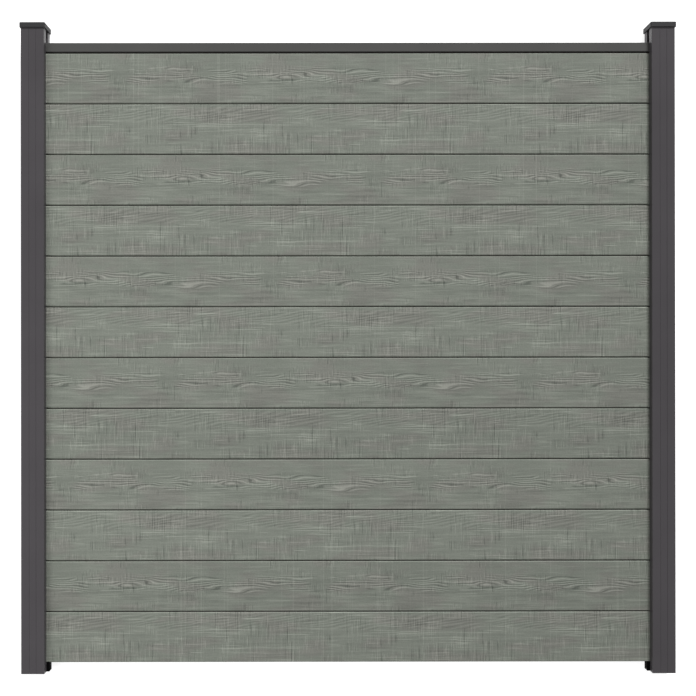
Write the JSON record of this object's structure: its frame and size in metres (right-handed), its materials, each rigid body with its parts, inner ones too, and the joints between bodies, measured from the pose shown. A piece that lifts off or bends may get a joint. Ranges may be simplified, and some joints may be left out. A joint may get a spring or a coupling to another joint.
{
  "type": "composite fence bay",
  "caption": "Fence bay of tongue-and-groove composite boards stacked between two slotted aluminium posts, with a top rail, cover strips and post caps.",
  "frame": {"origin": "centre of the bay's outline, on the floor it lies on", "axes": "+X along the boards, +Y from the feet of the posts to their caps, +Z out of the face"},
  "size_m": [1.925, 1.9096, 0.075],
  "materials": {
    "composite_board": "grey wood-plastic composite, embossed wood grain",
    "post_powder_coat": "anthracite powder coat, fine texture",
    "rail_powder_coat": "anthracite powder coat, fine texture",
    "moulded_plastic": "dark grey moulded plastic"
  },
  "bodies": {
    "root": {"board_01": "composite_board", "board_02": "composite_board", "board_03": "composite_board", "board_04": "composite_board", "board_05": "composite_board", "board_06": "composite_board", "board_07": "composite_board", "board_08": "composite_board", "board_09": "composite_board", "board_10": "composite_board", "board_11": "composite_board", "board_12": "composite_board", "post_left": "post_powder_coat", "cap_left": "moulded_plastic", "cover_strip_left_front": "post_powder_coat", "cover_strip_left_back": "post_powder_coat", "cover_strip_left_outer": "post_powder_coat", "spacer_left": "moulded_plastic", "post_right": "post_powder_coat", "cap_right": "moulded_plastic", "cover_strip_right_front": "post_powder_coat", "cover_strip_right_back": "post_powder_coat", "cover_strip_right_outer": "post_powder_coat", "spacer_right": "moulded_plastic", "top_rail": "rail_powder_coat"}
  },
  "joints": []
}
